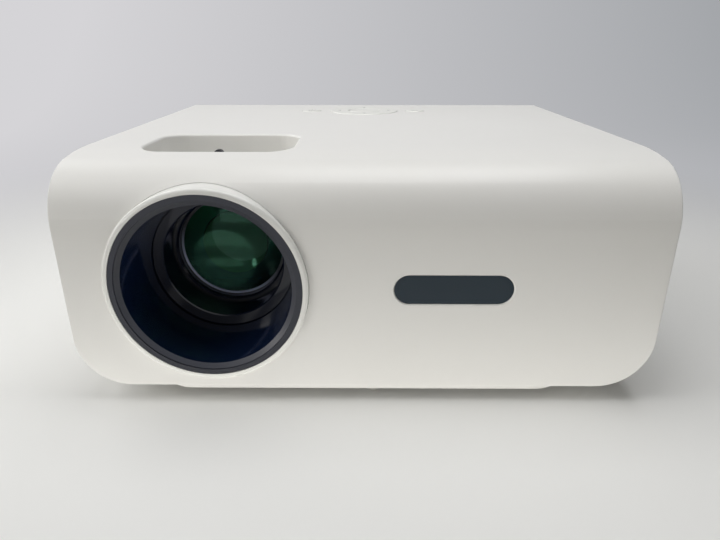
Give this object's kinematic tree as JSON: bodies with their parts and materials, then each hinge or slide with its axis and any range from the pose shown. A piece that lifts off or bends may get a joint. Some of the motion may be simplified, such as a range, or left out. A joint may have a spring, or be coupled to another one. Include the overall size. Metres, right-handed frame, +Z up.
{
  "type": "video projector with built-in disc player",
  "caption": "Table-top LCD projector: rounded white case, deep lens hood at left, focus well and keys on top, disc tray in the right side.",
  "frame": {"origin": "on the table under the middle of the projector's outline", "axes": "+X to the right seen from the front, +Y from the lens side to the back, +Z up"},
  "size_m": [0.24, 0.2126, 0.102],
  "materials": {
    "shell_plastic": "fine moulded satin",
    "key_plastic": "fine moulded satin",
    "hood_plastic": "polished",
    "black_plastic": "satin",
    "ir_plastic": "smooth",
    "panel_plastic": "satin",
    "rubber": "matte",
    "steel": "satin",
    "zinc_sheet": "plated sheet",
    "brass": "turned",
    "aluminium": "extruded",
    "lens_glass": "coated",
    "optic_glass": "clear",
    "mirror_glass": "silvered",
    "board": "solder mask",
    "component": "moulded",
    "led_yellow": "phosphor",
    "filter_foam": "open foam"
  },
  "bodies": {
    "housing": {"av_jacks": "black_plastic", "base_plate": "shell_plastic", "blower_case": "black_plastic", "card_slot": "zinc_sheet", "condenser_lens": "optic_glass", "drive_case": "zinc_sheet", "drive_cover": "zinc_sheet", "dust_filter": "filter_foam", "fan_frame": "black_plastic", "field_lens": "optic_glass", "focus_well": "shell_plastic", "hdmi_socket": "zinc_sheet", "heat_glass": "optic_glass", "housing_screws": "steel", "ir_board": "board", "ir_window": "ir_plastic", "key_board": "board", "lcd_panel": "optic_glass", "led_heatsink": "aluminium", "led_module": "led_yellow", "lens_hood": "hood_plastic", "lens_ring": "shell_plastic", "lens_sleeve": "black_plastic", "light_box": "black_plastic", "light_box_lid": "black_plastic", "lower_shell": "shell_plastic", "main_board": "board", "mirror": "mirror_glass", "plate_screws": "steel", "power_board": "board", "power_inlet": "black_plastic", "power_parts": "component", "rear_feet": "rubber", "rear_panel": "panel_plastic", "speaker": "component", "top_shell": "shell_plastic", "tripod_insert": "brass", "usb_socket": "zinc_sheet"},
    "focus_ring": {"focus_ring": "black_plastic"},
    "lens_barrel": {"lens_barrel": "black_plastic", "front_lens": "lens_glass", "rear_lens": "lens_glass"},
    "power_button": {"power_button": "key_plastic"},
    "back_button": {"back_button": "key_plastic"},
    "ok_button": {"ok_button": "key_plastic"},
    "direction_ring": {"direction_ring": "key_plastic"},
    "disc_tray": {"disc_tray": "black_plastic", "tray_bezel": "shell_plastic", "spindle_motor": "zinc_sheet", "guide_rods": "steel", "feed_motor": "zinc_sheet"},
    "tray_rails": {"tray_rails": "zinc_sheet"},
    "eject_button": {"eject_button": "shell_plastic"},
    "disc_hub": {"disc_hub": "black_plastic"},
    "laser_sled": {"laser_sled": "black_plastic"},
    "lead_screw": {"lead_screw": "steel"},
    "foot_pad": {"foot_pad": "rubber"},
    "foot_screw": {"foot_screw": "steel"},
    "fan_rotor": {"fan_rotor": "black_plastic"},
    "blower_rotor": {"blower_rotor": "black_plastic"}
  },
  "joints": [
    {"name": "tray_slide", "type": "slide", "parent": "housing", "child": "disc_tray", "axis": [1, 0, 0], "range_m": [0, 0.122]},
    {"name": "rail_slide", "type": "slide", "parent": "housing", "child": "tray_rails", "axis": [1, 0, 0], "range_m": [0, 0.061]},
    {"name": "eject_press", "type": "slide", "parent": "disc_tray", "child": "eject_button", "axis": [-1, 0, 0], "range_m": [0, 0.0006], "stiffness_N_per_m": 800, "springref_m": -0.0005},
    {"name": "disc_spin", "type": "hinge", "parent": "disc_tray", "child": "disc_hub", "pos_m": [0.0555, -0.02075, 0.0879], "axis": [0, 0, 1], "continuous": true},
    {"name": "sled_slide", "type": "slide", "parent": "disc_tray", "child": "laser_sled", "axis": [-1, 0, 0], "range_m": [0, 0.031]},
    {"name": "lead_screw_turn", "type": "hinge", "parent": "disc_tray", "child": "lead_screw", "pos_m": [0, 0.01025, 0.0843], "axis": [1, 0, 0], "range_deg": [0, 3726]},
    {"name": "focus_turn", "type": "hinge", "parent": "housing", "child": "focus_ring", "pos_m": [-0.0623, -0.05075, 0.0524], "axis": [0, 1, 0], "range_deg": [-28, 28]},
    {"name": "barrel_slide", "type": "slide", "parent": "housing", "child": "lens_barrel", "axis": [0, -1, 0], "range_m": [-0.003, 0.003]},
    {"name": "power_press", "type": "slide", "parent": "housing", "child": "power_button", "axis": [0, 0, -1], "range_m": [0, 0.0006], "stiffness_N_per_m": 800, "springref_m": -0.0005},
    {"name": "back_press", "type": "slide", "parent": "housing", "child": "back_button", "axis": [0, 0, -1], "range_m": [0, 0.0006], "stiffness_N_per_m": 800, "springref_m": -0.0005},
    {"name": "ok_press", "type": "slide", "parent": "housing", "child": "ok_button", "axis": [0, 0, -1], "range_m": [0, 0.0006], "stiffness_N_per_m": 800, "springref_m": -0.0005},
    {"name": "direction_press", "type": "slide", "parent": "housing", "child": "direction_ring", "axis": [0, 0, -1], "range_m": [0, 0.0006], "stiffness_N_per_m": 800, "springref_m": -0.0005},
    {"name": "foot_extend", "type": "slide", "parent": "housing", "child": "foot_pad", "axis": [0, 0, -1], "range_m": [0, 0.012]},
    {"name": "foot_turn", "type": "hinge", "parent": "foot_pad", "child": "foot_screw", "pos_m": [0.0044, -0.09315, 0], "axis": [0, 0, -1], "range_deg": [0, 2166]},
    {"name": "exhaust_fan_spin", "type": "hinge", "parent": "housing", "child": "fan_rotor", "pos_m": [0, 0.05425, 0.0544], "axis": [1, 0, 0], "continuous": true},
    {"name": "blower_spin", "type": "hinge", "parent": "housing", "child": "blower_rotor", "pos_m": [0.0167, -0.01475, 0], "axis": [0, 0, 1], "continuous": true}
  ],
  "couplings": [
    {"joint": "rail_slide", "follows": "tray_slide", "ratio": 0.5},
    {"joint": "lead_screw_turn", "follows": "sled_slide", "rad_per_m": 2094.4},
    {"joint": "barrel_slide", "follows": "focus_turn", "m_per_rad": 0.006108},
    {"joint": "foot_turn", "follows": "foot_extend", "rad_per_m": 3141.6}
  ]
}
